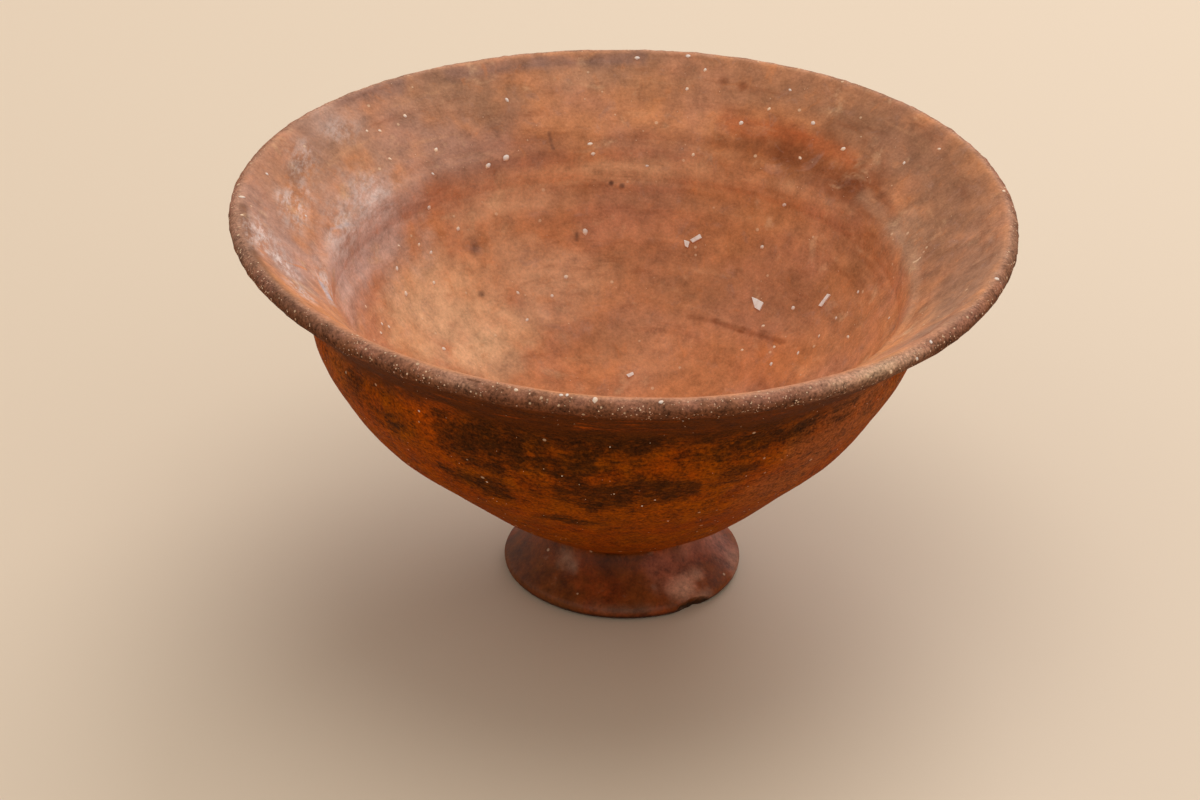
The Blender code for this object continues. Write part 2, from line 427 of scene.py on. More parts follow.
def wheel_tree():
    """Turns a profile line into the bowl's body and gives it the hand's marks."""
    bench, given, result = new_tree("throw_on_the_wheel", "Geometry", {
        "Profile": "Geometry",
        "Round Steps": ROUND_STEPS,
        "Bowl Height": BOWL_HEIGHT,
        "Rim Radius": RIM_RADIUS,
        "Belly Lean": BELLY_LEAN,
        "Foot Shift": FOOT_SHIFT,
        "Lump Height": 0.00035,
        "Wipe Depth": 0.00010,
        "Lip Wear": 0.00024,
        "Chip Length": CHIP_LENGTH,
        "Chip Height": CHIP_HEIGHT,
        "Chip Bite": CHIP_BITE,
        "Material": "Material",
    }, {"Body": "Geometry"})

    count = bench.shape("AttributeDomainSize", {"Geometry": given["Profile"]}, component="MESH")
    columns = bench.calc("ADD", given["Round Steps"], 1.0)
    sheet = bench.shape("MeshGrid", {
        "Size X": 1.0, "Size Y": 1.0, "Vertices X": columns, "Vertices Y": count,
    })
    place = bench.split(bench.shape("InputPosition"))
    last_row = bench.calc("SUBTRACT", count, 1.0)
    row = bench.calc("ROUND", bench.times(bench.calc("ADD", place[1], 0.5), last_row))
    angle = bench.times(bench.calc("ADD", place[0], 0.5), 2 * pi)

    def from_profile(value, kind="FLOAT"):
        """A value of the profile point that the row is turned from."""
        return bench.shape("SampleIndex", {
            "Geometry": given["Profile"], "Value": value, "Index": row,
        }, data_type=kind)

    radius, _, height = bench.split(from_profile(bench.shape("InputPosition"), "FLOAT_VECTOR"))
    rise = bench.calc("DIVIDE", height, given["Bowl Height"])

    wave = 0.0
    for lobes, reach, start in RIM_WAVES:
        turn = bench.times(bench.calc("SUBTRACT", angle, start), float(lobes))
        wave = bench.calc("ADD", wave, bench.times(bench.calc("COSINE", turn), reach))
    swell = bench.calc("DIVIDE", bench.times(wave, bench.calc("POWER", rise, 2.0)),
                       given["Rim Radius"])
    radius = bench.times(radius, bench.calc("ADD", swell, 1.0))
    bow = bench.calc("SINE", bench.times(bench.calc("POWER", rise, LEAN_RISE), pi))
    lean = bench.times(bench.calc("POWER", bow, 2.0), given["Belly Lean"])
    fall = bench.calc("POWER", bench.calc("SUBTRACT", 1.0, rise), 2.0)
    lean = bench.calc("ADD", lean, bench.times(fall, given["Foot Shift"]))
    east = bench.calc("ADD", bench.times(radius, bench.calc("COSINE", angle)), lean)
    north = bench.times(radius, bench.calc("SINE", angle))
    stood = bench.put("ShaderNodeCombineXYZ", {0: east, 1: north, 2: height})

    body = sheet
    for name in PROFILE_MARKS:
        body = bench.keep(body, name, from_profile(bench.kept(name)))
    body = bench.shape("SetPosition", {"Geometry": body, "Position": stood})
    body = bench.shape("MergeByDistance", {"Geometry": body, "Distance": WELD})

    # Relief along the normal: soft lumps, wiping that runs round, and a worn lip.
    here = bench.shape("InputPosition")
    lumps = bench.swing(here, *LUMPS)
    dents = bench.swing(here, *DENTS)
    round_about = bench.vector("MULTIPLY", here, (1.0, 1.0, WIPE_FLATNESS))
    wiping = bench.swing(round_about, *WIPING)
    worn = bench.ramp(bench.noise(here, *WEAR), 0.42, 0.75)
    plainer_inside = bench.calc("ADD", bench.times(bench.kept("inside"), -0.6), 1.6)
    grooved = bench.times(wiping, given["Wipe Depth"], plainer_inside)
    relief = bench.calc("MULTIPLY_ADD", lumps, given["Lump Height"], grooved)
    relief = bench.calc("MULTIPLY_ADD", dents,
                        bench.times(given["Lump Height"], DENT_SHARE), relief)
    wear = bench.times(worn, bench.kept("lip"), given["Lip Wear"])
    relief = bench.calc("SUBTRACT", relief, wear)
    free = bench.ramp(bench.split(here)[2], 0.0, CALM_HEIGHT)
    offset = bench.scaled(bench.shape("InputNormal"), bench.times(relief, free))
    body = bench.shape("SetPosition", {"Geometry": body, "Offset": offset})

    body = chipped(bench, given, body)
    body = bench.shape("MergeByDistance", {"Geometry": body, "Distance": WELD})
    return bench.hand_over(body, given["Material"], result["Body"])


def chipped(bench, given, body):
    """The body with the foot's edge driven in where the chip is gone."""
    outward = (cos(CHIP_BEARING), sin(CHIP_BEARING), 0.0)
    sideways = (-sin(CHIP_BEARING), cos(CHIP_BEARING), 0.0)
    here = bench.shape("InputPosition")
    out = bench.vector("DOT_PRODUCT", here, outward, out=1)
    along = bench.vector("DOT_PRODUCT", here, sideways, out=1)
    spent = 0.0
    for way, half in ((along, bench.times(given["Chip Length"], 0.5)),
                      (bench.split(here)[2], given["Chip Height"])):
        share = bench.calc("POWER", bench.calc("DIVIDE", way, half), 2.0)
        spent = bench.calc("ADD", spent, share)
    open_share = bench.calc("SUBTRACT", 1.0, spent, clamp=True)
    rough = bench.ramp(bench.noise(here, *CHIP_ROUGHNESS), 0.3, 0.7, 0.86, 1.14, False)
    reach = bench.times(given["Chip Bite"], 2.0, rough)
    middle = bench.calc("ADD", given["Chip Bite"], FOOT_RADIUS)
    limit = bench.calc("SUBTRACT", middle, bench.times(reach, bench.calc("SQRT", open_share)))
    driven = bench.calc("MINIMUM", bench.calc("SUBTRACT", limit, out), 0.0)
    driven = bench.times(driven, bench.calc("GREATER_THAN", open_share, 0.0))
    body = bench.keep(body, "fresh", bench.ramp(driven, 0.0, -FRESH_DEPTH))
    return bench.shape("SetPosition", {"Geometry": body, "Offset": bench.scaled(outward, driven)})


def set_down(name, data):
    """A new object in the scene."""
    item = bpy.data.objects.new(name, data)
    bpy.context.scene.collection.objects.link(item)
    return item


def made_by(tree, name, mesh, **inputs):
    """An object whose mesh is what the tree makes of the given mesh."""
    worked = set_down(name, mesh)
    step = worked.modifiers.new("work", "NODES")
    step.node_group = tree
    for item in tree.interface.items_tree:
        if item.in_out == "INPUT" and item.name in inputs:
            step[item.identifier] = inputs[item.name]
    bpy.context.view_layer.update()
    evaluated = worked.evaluated_get(bpy.context.evaluated_depsgraph_get())
    plain = bpy.data.meshes.new_from_object(evaluated)
    worked.modifiers.remove(step)
    worked.data = plain
    plain.name = name
    return worked


# Where the photograph's marks lie on the clay.


def eye_axes():
    """The camera's right, up and forward directions."""
    forward = Vector((0.0, cos(EYE_PITCH), -sin(EYE_PITCH)))
    level = Vector((1.0, 0.0, 0.0))
    upright = level.cross(forward)
    right = cos(EYE_ROLL) * level + sin(EYE_ROLL) * upright
    up = -sin(EYE_ROLL) * level + cos(EYE_ROLL) * upright
    return right, up, forward


def on_clay(skin, pixel):
    """The place and normal on the bowl that a pixel of the photograph shows."""
    right, up, forward = eye_axes()
    across = (pixel[0] - PHOTO_WIDTH / 2) / FOCAL_PIXELS
    down = (pixel[1] - PHOTO_HEIGHT / 2) / FOCAL_PIXELS
    ray = (forward + across * right - down * up).normalized()
    place, normal, _, _ = skin.ray_cast(EYE, ray)
    if place is None:
        raise ValueError(f"no clay is seen at {pixel}")
    return place, normal


def skin_of(piece):
    """The piece's surface, ready to be looked up."""
    mesh = piece.data
    corners = np.zeros(len(mesh.vertices) * 3, np.float32)
    mesh.vertices.foreach_get("co", corners)
    faces = [tuple(face.vertices) for face in mesh.polygons]
    return BVHTree.FromPolygons(corners.reshape(-1, 3).tolist(), faces)


def srgb(red, green, blue):
    """A color given 0 to 255, as the finishes want it."""
    linear = []
    for value in (red, green, blue):
        part = value / 255
        linear.append(part / 12.92 if part <= 0.04045 else ((part + 0.055) / 1.055) ** 2.4)
    return (*linear, 1.0)


# Finishes.

BARE = (0.0, 0.0, 0.0, 1.0)
OCHRE = srgb(240, 192, 148)
TAN_CLAY = srgb(220, 168, 130)
RED_CLAY = srgb(200, 136, 102)
ORANGE_CLAY = srgb(210, 140, 94)
BRIGHT_ORANGE = srgb(214, 130, 74)
BROWN_CLAY = srgb(166, 116, 84)
# Dark brown: for dark spots and lines, and as painted shade in the throat under the flare and
# along the throwing rings.
DARK_CLAY_AND_SHADE = srgb(130, 66, 34)
SPICE_BROWN = srgb(158, 104, 62)
ORANGE_RED = srgb(196, 98, 52)
# Painted highlight along the ridge below the flare and on the throwing rings.
RIDGE_HIGHLIGHT = srgb(228, 170, 126)
GREY_BROWN = srgb(164, 126, 104)
FLARE_BROWN = srgb(144, 104, 80)
GREY_TAN = srgb(180, 140, 112)
OLIVE_GREY = srgb(116, 94, 76)
RIM_MAUVE = srgb(142, 110, 98)
FILM_PINK = srgb(204, 176, 166)
DUSTY_PINK = srgb(174, 136, 120)
FILM_WHITE = srgb(222, 200, 190)
FILM_AND_BLUE_SHEEN = srgb(186, 164, 162)
BLUE_WHITE = srgb(198, 198, 208)
DARK_SMUDGE = srgb(88, 66, 58)
RUST = srgb(154, 66, 0)
RUST_LOW = srgb(152, 74, 0)
RED_RUST = srgb(152, 84, 44)
BRIGHT_RUST = srgb(184, 78, 2)
# A dark brown painted as the shade on the flare's underside.
UNDER_FLARE_SHADE = srgb(84, 40, 8)
SOOT_BROWN = srgb(78, 40, 8)
SOOT_BLACK = srgb(38, 24, 10)
LIP_BROWN = srgb(150, 100, 74)
LIP_LOWER_SHADE = srgb(96, 54, 30)
LIP_PURPLE = srgb(160, 108, 88)
LIP_PINK = srgb(206, 152, 126)
LIP_PALE = srgb(190, 142, 116)
LIP_DARK = srgb(92, 62, 44)
FOOT_MAROON = srgb(142, 60, 20)
FOOT_BROWN = srgb(100, 56, 18)
FOOT_PINK = srgb(184, 112, 90)
FOOT_TAN = srgb(224, 164, 132)
# Grey film, also used as a painted glossy sheen on the foot's left.
FOOT_FILM_AND_SHEEN = srgb(164, 128, 104)
CREAM_GRIT = srgb(246, 208, 170)
LIME = srgb(234, 216, 204)
CHALK = srgb(250, 244, 238)
FLOOR_TONE = srgb(224, 202, 176)

# Noise in the clay's finish: scale, detail, roughness and, for some, distortion.
BROAD = (48.0, 3.0, 0.55)
DRIFT = (130.0, 4.0, 0.62, 0.4)
BLOOM = (210.0, 4.0, 0.68, 0.6)
RAGGED = (150.0, 3.0, 0.65)
RINGS = (85.0, 5.0, 0.66)
SMEARS = (230.0, 5.0, 0.74)
GLOW = (110.0, 5.0, 0.7, 0.3)
PITS = (520.0, 4.0, 0.75)

# Heights, and for the far side depths, between which a mark of the finish comes up.
WALL_START = (0.0200, 0.0300)
FILM_TURN = (0.0550, 0.0640)     # film with a painted bluish sheen below, white above
FLARE_SHADE = (0.0605, 0.0660)
SOOT_TOP = (0.0690, 0.0620)
FAR_SIDE = (0.0050, 0.0350)
BLACK_EDGE = (0.0016, 0.0006)

SOOT_SHARES = (0.60, 0.68)   # how much the brown haze and the black flecks cover
FEW_SPECKS = {"Scale": 330.0, "Size": 0.11, "Share": 0.26}
MANY_SPECKS = {"Scale": 900.0, "Size": 0.26, "Share": 0.22}

# How strongly the clay's unevenness shows: outside and inside, and what the foot and the
# lip change in it.
BUMP_REACH = (1.5, 0.75)
BUMP_ON_LIP = 1.6
COARSE_REACH = (0.30, 0.23)
COARSE_ON_FOOT = 0.20
COARSE_ON_LIP = 0.08
FINE_REACH = (0.62, 0.15)
FINE_ON_FOOT = -0.55         # as a share of the fine one
FINE_ON_LIP = 0.30

LIP_COVER = 0.92
FRESH_COVER = 0.6
CLAY_SHEEN = 0.04
FOOT_GLOSS = 0.30
GLOSS_BLUR = 0.38
CLAY_BUMP = 0.00030
GRIT_BUMP = 0.0001
FLOOR_DULLNESS = 0.6

# Soft washes of color: photograph pixel, reach in millimetres along x, y and z, color,
# strength. Inside first.
INSIDE_WASHES = (
    ((430, 300), (20, 20, 12), OCHRE, 0.85),
    ((485, 343), (18, 16, 8), OCHRE, 0.95),
    ((520, 270), (14, 12, 8), TAN_CLAY, 0.75),
    ((560, 280), (16, 16, 8), TAN_CLAY, 0.75),
    ((640, 350), (14, 16, 8), TAN_CLAY, 0.35),
    ((690, 285), (22, 14, 8), BROWN_CLAY, 0.64),
    ((515, 362), (8, 8, 4), GREY_TAN, 0.40),
    ((600, 335), (11, 14, 6), BROWN_CLAY, 0.45),
    ((775, 365), (14, 12, 8), BRIGHT_ORANGE, 0.60),
    ((830, 300), (16, 16, 12), BROWN_CLAY, 0.35),
    ((865, 258), (13, 16, 11), SPICE_BROWN, 0.35),
    ((790, 290), (20, 14, 8), SPICE_BROWN, 0.40),
    ((740, 215), (20, 14, 9), SPICE_BROWN, 0.35),
    ((380, 220), (18, 18, 14), FILM_PINK, 0.85),
    ((340, 270), (14, 16, 13), FILM_PINK, 0.85),
    ((330, 205), (8, 14, 9), DUSTY_PINK, 0.60),
    ((395, 130), (16, 12, 8), DUSTY_PINK, 0.60),
    ((300, 120), (14, 14, 7), DUSTY_PINK, 0.50),
    ((262, 215), (16, 24, 12), DUSTY_PINK, 0.85),
    ((288, 272), (11, 12, 8), DUSTY_PINK, 0.85),
    ((330, 140), (18, 14, 10), GREY_BROWN, 0.85),
    ((450, 95), (22, 14, 9), GREY_BROWN, 0.70),
    ((450, 150), (22, 14, 7), DUSTY_PINK, 0.70),
    ((500, 106), (12, 10, 6), OLIVE_GREY, 0.40),
    ((436, 82), (8, 8, 4), OLIVE_GREY, 0.40),
    ((294, 168), (5, 7, 3), DARK_SMUDGE, 0.75),
    ((595, 74), (12, 8, 3), GREY_TAN, 0.60),
    ((640, 58), (22, 8, 3), OLIVE_GREY, 0.50),
    ((768, 117), (14, 10, 4), BRIGHT_ORANGE, 0.50),
    ((829, 142), (10, 10, 5), BRIGHT_ORANGE, 0.45),
    ((768, 90), (24, 13, 8), BROWN_CLAY, 0.70),
    ((860, 122), (24, 15, 9), FLARE_BROWN, 0.85),
    ((915, 155), (16, 16, 8), FLARE_BROWN, 0.80),
    ((955, 195), (20, 22, 12), FLARE_BROWN, 0.85),
    ((940, 250), (13, 18, 9), FLARE_BROWN, 0.75),
    ((985, 250), (9, 18, 7), GREY_BROWN, 0.70),
    ((962, 292), (16, 19, 11), GREY_BROWN, 0.95),
    ((932, 328), (14, 14, 8), GREY_BROWN, 0.90),
    # These three are painted shade where the wall turns steep under the flare.
    ((850, 182), (13, 16, 5), DARK_CLAY_AND_SHADE, 0.85),
    ((788, 144), (18, 12, 6), DARK_CLAY_AND_SHADE, 0.85),
    ((520, 146), (20, 12, 4), DARK_CLAY_AND_SHADE, 0.30),
    ((905, 232), (9, 14, 6), GREY_TAN, 0.60),
    ((500, 205), (20, 14, 7), TAN_CLAY, 0.70),
    ((470, 170), (18, 12, 6), DUSTY_PINK, 0.30),
    ((480, 185), (18, 12, 4), TAN_CLAY, 0.40),
    # Painted highlight along the ridge below the flare.
    ((620, 172), (34, 12, 3), RIDGE_HIGHLIGHT, 0.80),
    # Painted shade of the throwing ring below the ridge.
    ((660, 200), (26, 10, 2), BROWN_CLAY, 0.40),
    ((474, 248), (1.8, 2.6, 2.2), DARK_SMUDGE, 0.75),
    ((763, 351), (7, 6, 4), BRIGHT_ORANGE, 0.55),
    # Film with a painted bluish sheen.
    ((298, 268), (11, 16, 10), FILM_AND_BLUE_SHEEN, 0.38),
    ((280, 168), (15, 15, 9), GREY_BROWN, 0.40),
    ((330, 115), (11, 9, 5), FILM_PINK, 0.35),
    ((650, 84), (14, 8, 5), BROWN_CLAY, 0.50),
    ((958, 278), (14, 20, 12), FLARE_BROWN, 0.60),
)
# The same outside, down to the waist.
OUTSIDE_WASHES = (
    ((830, 435), (16, 14, 14), RED_RUST, 0.85),
    ((780, 480), (14, 14, 10), RED_RUST, 0.75),
    ((870, 400), (12, 14, 10), RED_RUST, 0.90),
    ((340, 370), (8, 12, 10), RED_RUST, 0.30),
    ((640, 515), (26, 14, 7), RUST_LOW, 0.60),
    ((372, 420), (8, 8, 8), BRIGHT_RUST, 0.50),
    ((438, 418), (11, 10, 7), BRIGHT_RUST, 0.85),
)
# The same on the foot.
FOOT_WASHES = (
    # The first two, darker on the foot's left near its top, are painted shade from the belly
    # above.
    ((525, 560), (9, 10, 8), FOOT_BROWN, 0.85),
    ((508, 550), (8, 10, 9), FOOT_BROWN, 0.60),
    ((548, 592), (11, 10, 5), FOOT_BROWN, 0.80),
    # Pale patches on the foot's left: film and painted glossy sheen.
    ((567, 557), (3.2, 5, 3.0), FOOT_FILM_AND_SHEEN, 0.55),
    ((573, 566), (2.0, 3, 1.6), FOOT_FILM_AND_SHEEN, 0.50),
    ((652, 540), (1.4, 2, 1.4), FOOT_FILM_AND_SHEEN, 0.55),
    ((651, 552), (1.0, 1.5, 1.0), FOOT_FILM_AND_SHEEN, 0.50),
    ((654, 587), (0.8, 1.2, 0.8), FOOT_FILM_AND_SHEEN, 0.45),
    ((683, 588), (4.2, 5, 2.6), FOOT_TAN, 0.90),
    ((695, 574), (3.0, 4, 1.6), FOOT_TAN, 0.55),
    ((721, 545), (8, 8, 7), FOOT_PINK, 0.95),
    ((690, 548), (5, 6, 4), FOOT_PINK, 0.45),
    ((664, 571), (7, 8, 5), FOOT_PINK, 0.40),
    ((735, 560), (4, 6, 4), FOOT_FILM_AND_SHEEN, 0.45),
    ((704, 597), (3, 4, 2), FOOT_FILM_AND_SHEEN, 0.60),
    ((603, 557), (6, 8, 5), SOOT_BROWN, 0.75),
    ((560, 606), (14, 8, 2), FOOT_BROWN, 0.60),
    ((655, 606), (12, 8, 1.6), FOOT_BROWN, 0.30),
    ((622, 610), (10, 7, 1.4), OLIVE_GREY, 0.40),
)
# Where the fire's soot clouds gather: photograph pixel, reach in millimetres.
SOOT_PLACES = (
    ((356, 386), (6, 8, 8), 0.75),
    ((368, 400), (5, 7, 5), 0.7),
    ((394, 421), (6, 7, 5), 0.7),
    ((446, 445), (6, 7, 4), 0.4),
    ((476, 482), (11, 9, 7)),
    ((497, 449), (21, 13, 11), 1.15),
    ((555, 450), (16, 12, 10), 0.9),
    ((592, 447), (16, 12, 10), 1.1),
    ((531, 491), (7, 7, 4), 0.8),
    ((600, 494), (19, 10, 7)),
    ((573, 521), (9, 8, 3), 0.9),
    ((643, 490), (9, 8, 7), 0.95),
    ((648, 437), (10, 9, 5), 0.9),
    ((684, 487), (5, 7, 7), 0.8),
    ((717, 444), (13, 10, 8), 0.72),
    ((765, 434), (13, 10, 8), 0.9),
    ((805, 424), (12, 9, 6), 0.8),
    ((845, 404), (12, 9, 5), 0.6),
    ((742, 473), (8, 8, 5), 0.5),
)
# Streaks of pale film on the left of the flare; low down they carry a painted bluish sheen.
FILM_PLACES = (
    ((294, 205), (5, 12, 5), 0.75),
    ((262, 240), (5, 13, 5), 0.80),
    ((284, 264), (5, 10, 5), 1.0),
    ((300, 290), (4, 8, 5), 0.95),
    ((300, 160), (5, 9, 4), 0.50),
    ((340, 130), (6, 6, 3), 0.45),
    ((370, 205), (10, 12, 8), 0.55),
    ((345, 235), (8, 12, 8), 0.60),
    ((330, 290), (5, 10, 7), 0.75),
)
# Lines: photograph pixels of both ends, half width in millimetres, color, strength. A dot
# has the same pixel twice. The broad ones are laid with the washes.
INSIDE_BANDS = (
    ((338, 101), (400, 84), 2.0, RIM_MAUVE, 0.85),
    ((452, 74), (540, 62), 1.7, RIM_MAUVE, 0.75),
    ((540, 62), (640, 58), 1.6, RIM_MAUVE, 0.75),
    # Painted shade along the throat under the flare.
    ((520, 148), (640, 138), 1.8, DARK_CLAY_AND_SHADE, 0.20),
    ((640, 138), (720, 142), 2.2, DARK_CLAY_AND_SHADE, 0.30),
    ((720, 142), (790, 154), 3.0, DARK_CLAY_AND_SHADE, 0.55),
    ((790, 154), (850, 182), 3.2, DARK_CLAY_AND_SHADE, 0.60),
    ((850, 182), (888, 214), 2.8, DARK_CLAY_AND_SHADE, 0.60),
    ((725, 122), (800, 134), 2.4, ORANGE_RED, 0.50),
    ((800, 134), (850, 160), 2.0, ORANGE_RED, 0.45),
    # Painted highlight along the ridge below the flare, paler in its middle.
    ((500, 190), (560, 174), 1.5, RIDGE_HIGHLIGHT, 0.40),
    ((560, 174), (700, 170), 2.0, RIDGE_HIGHLIGHT, 1.00),
    ((590, 172), (660, 170), 2.4, OCHRE, 0.60),
    ((700, 170), (790, 188), 1.6, RIDGE_HIGHLIGHT, 0.50),
    ((790, 188), (850, 214), 1.5, RIDGE_HIGHLIGHT, 0.40),
    ((243, 205), (250, 250), 1.30, LIP_DARK, 0.60),
    ((250, 250), (272, 288), 1.70, LIP_DARK, 0.70),
    ((272, 288), (318, 328), 1.50, LIP_DARK, 0.65),
    ((532, 325), (620, 318), 0.80, BROWN_CLAY, 0.35),
    # Painted highlight along the ridge on the right.
    ((862, 196), (896, 226), 1.60, GREY_TAN, 0.45),
    ((896, 226), (914, 262), 1.80, GREY_TAN, 0.55),
    ((914, 262), (906, 318), 1.80, GREY_TAN, 0.45),
)
INSIDE_LINES = (
    ((690, 317), (715, 321), 0.70, DARK_CLAY_AND_SHADE, 0.30),
    ((715, 321), (742, 330), 0.70, DARK_CLAY_AND_SHADE, 0.50),
    ((742, 330), (784, 342), 0.70, DARK_CLAY_AND_SHADE, 0.45),
    ((549, 133), (553, 148), 0.45, DARK_SMUDGE, 0.45),
    ((286, 262), (306, 269), 0.40, BRIGHT_ORANGE, 0.60),
    # Bluish-white streaks: film with a painted sheen.
    ((321, 283), (331, 299), 0.80, BLUE_WHITE, 0.60),
    ((331, 229), (350, 224), 0.50, BLUE_WHITE, 0.35),
    ((914, 262), (920, 258), 0.25, CREAM_GRIT, 0.70),
    ((481, 294), (481, 294), 0.80, DARK_SMUDGE, 0.55),
    ((611, 183), (611, 183), 0.55, DARK_SMUDGE, 0.80),
    ((622, 186), (622, 186), 0.60, DARK_SMUDGE, 0.70),
    ((742, 86), (742, 86), 1.00, DARK_CLAY_AND_SHADE, 0.55),
    ((723, 81), (723, 81), 1.20, DARK_CLAY_AND_SHADE, 0.45),
    ((577, 234), (577, 240), 0.60, DARK_SMUDGE, 0.60),
)
LIP_LINES = (
    ((468, 379), (480, 382), 0.26, SOOT_BROWN, 0.60),
    # A pale line along the lip's top at the front: wear and painted sheen.
    ((640, 399), (720, 396), 0.30, LIP_PALE, 0.50),
)
# The lip's washes, told as those inside.
LIP_WASHES = (
    ((460, 386), (4.5, 3.0, 1.0), GREY_TAN, 0.80),
    ((400, 366), (10, 12, 5), LIP_BROWN, 0.70),
    ((452, 378), (8, 6, 3), LIP_PALE, 0.75),
    ((290, 310), (20, 26, 6), LIP_DARK, 0.55),
    ((236, 240), (8, 30, 8), GREY_BROWN, 0.60),
    ((870, 376), (24, 16, 7), LIP_PINK, 0.95),
    # Painted light on the upper side of the lip at the front right.
    ((882, 373), (13, 10, 4), CREAM_GRIT, 0.65),
    ((604, 405), (22, 12, 3), LIP_BROWN, 0.50),
    ((960, 330), (8, 12, 6), LIP_PURPLE, 0.50),
    ((1008, 235), (7, 24, 8), FLARE_BROWN, 1.00),
    ((700, 60), (60, 8, 5), GREY_BROWN, 0.80),
    ((420, 88), (30, 16, 6), GREY_BROWN, 0.80),
)

# Pale flakes stuck to the clay, as outlines in photograph pixels.
FLAKES = (
    ((752, 297), (757, 299), (764, 303), (760, 311), (755, 308)),
    ((819, 306), (828, 294), (831, 295), (822, 307)),
    ((690, 240), (700, 234), (702, 238), (693, 243)),
    ((684, 240), (690, 242), (688, 248), (685, 246)),
    ((626, 375), (633, 372), (634, 375), (629, 378)),
)
# Round lime grains: photograph pixel and width in its pixels.
LIME_GRAINS = (
    (488, 166, 5.5), (506, 158, 6.5), (436, 150, 4.5), (590, 144, 4.5), (593, 154, 4.0),
    (693, 155, 3.5), (429, 208, 5.0), (397, 269, 4.5), (406, 294, 5.0), (434, 283, 4.0),
    (458, 229, 4.5), (585, 232, 6.0), (741, 123, 4.5), (813, 123, 4.5), (843, 149, 5.0),
    (566, 277, 4.5), (518, 293, 3.5), (552, 296, 3.5), (527, 320, 3.5), (382, 324, 3.5),
    (389, 327, 3.5), (381, 333, 3.5), (444, 349, 4.5), (366, 307, 3.0), (419, 245, 3.5),
    (399, 246, 3.0), (431, 253, 4.0), (433, 174, 3.0), (390, 159, 3.5), (367, 131, 3.0),
    (380, 131, 3.5), (405, 116, 4.0), (507, 100, 4.0), (267, 174, 3.5), (242, 197, 5.5),
    (242, 215, 3.5), (306, 216, 3.0), (637, 58, 4.5), (688, 56, 4.5), (705, 70, 3.5),
    (687, 89, 3.5), (769, 109, 3.5), (800, 158, 3.5), (784, 205, 4.0), (647, 166, 3.0),
    (904, 163, 3.5), (939, 149, 3.5), (790, 90, 3.0), (997, 279, 5.0), (1004, 191, 4.0),
    (785, 205, 3.0), (762, 247, 4.0), (793, 308, 4.5), (858, 292, 3.5), (848, 337, 4.5),
    (819, 336, 3.0), (763, 326, 3.5), (774, 347, 3.5), (771, 364, 4.0), (742, 350, 3.0),
    (798, 353, 3.5), (889, 318, 3.0), (836, 318, 3.0), (661, 402, 4.5), (891, 372, 4.5),
    (917, 359, 4.0), (931, 342, 4.0), (595, 400, 6.0), (516, 390, 4.0), (561, 395, 4.0),
    (567, 395, 4.0), (419, 411, 2.5), (610, 447, 1.7), (683, 421, 1.7), (562, 476, 1.8),
    (487, 482, 2.2), (614, 494, 1.8), (642, 506, 2.2), (655, 500, 1.8), (668, 521, 1.8),
)


WHEEL_RADIUS = 0.060         # marks are laid out round a circle of this radius
RUN_STRETCH = 2.5            # and are this much flatter than long


def round_the_wheel(bench, where, run):
    """Places measured round the wheel and along the profile: what they feed runs sideways."""
    level = bench.vector("NORMALIZE", bench.vector("MULTIPLY", where, (1.0, 1.0, 0.0)))
    circle = bench.vector("MULTIPLY", level, (WHEEL_RADIUS, WHEEL_RADIUS, 0.0))
    lifted = bench.put("ShaderNodeCombineXYZ", {2: bench.times(run, RUN_STRETCH)})
    return bench.vector("ADD", circle, lifted)


def grain_group():
    """The clay's own grain: fine and coarse mottling and a height for the bump."""
    bench, given, result = new_tree("clay_grain", "Shader", {
        "Where": "Vector",
        "Coarse": 260.0,
        "Fine": 1700.0,
        "Around": "Vector",
        "Wiping": 0.5,
    }, dict.fromkeys(("Mottle", "Speckle", "Streak", "Height"), "Float"))
    mottle = bench.noise(given["Where"], given["Coarse"], 4.0, 0.62)
    speckle = bench.noise(given["Where"], given["Fine"], 3.0, 0.6)
    streak = bench.noise(given["Around"], 260.0, 4.0, 0.65)
    height = bench.calc("MULTIPLY_ADD", bench.calc("SUBTRACT", streak, 0.5), given["Wiping"],
                        bench.calc("MULTIPLY_ADD", speckle, 0.6, mottle))
    for name, value in (("Mottle", mottle), ("Speckle", speckle), ("Streak", streak),
                        ("Height", height)):
        bench.feed(result[name], value)
    return bench.tree


def speck_group():
    """Pale grit flush with the surface."""
    bench, given, result = new_tree("grit_specks", "Shader", {
        "Where": "Vector",
        "Scale": 420.0,
        "Size": 0.16,
        "Share": 0.2,
    }, {"Mask": "Float"})
    cells = bench.put("ShaderNodeTexVoronoi", {
        "Vector": given["Where"], "Scale": given["Scale"],
    }).node.outputs
    lot = bench.put("ShaderNodeSeparateColor", {0: cells["Color"]}).node.outputs
    kept = bench.calc("LESS_THAN", lot[0], given["Share"])
    size = bench.times(given["Size"], bench.ramp(lot[1], 0.0, 1.0, 0.5, 1.3, False))
    grain = bench.ramp(bench.calc("DIVIDE", cells["Distance"], size), 1.15, 0.7)
    bench.feed(result["Mask"], bench.times(grain, kept))
    return bench.tree


def soot_group():
    """Broken brown and black clouds, wiped sideways, that gather where they are told."""
    bench, given, result = new_tree("soot_clouds", "Shader", {
        "Around": "Vector",
        "Gather": 0.0,
        "Reach": 0.34,
    }, {"Haze": "Float", "Flecks": "Float"})
    clouds = bench.noise(given["Around"], 72.0, 6.0, 0.72, 0.3)
    flecks = bench.noise(given["Around"], 430.0, 5.0, 0.80)
    haze = bench.ramp(bench.calc("MULTIPLY_ADD", given["Gather"], given["Reach"], clouds),
                      0.50, 0.88)
    thick = bench.calc("MULTIPLY_ADD", haze, 0.24, flecks)
    bench.feed(result["Haze"], haze)
    bench.feed(result["Flecks"], bench.ramp(thick, 0.55, 0.80))
    return bench.tree


def use_group(bench, group, feeds, out=0):
    """A group's node with its inputs given, as one of its outputs."""
    node = bench.tree.nodes.new("ShaderNodeGroup")
    node.node_tree = group
    for name, value in feeds.items():
        bench.feed(node.inputs[name], value)
    return node.outputs[out]


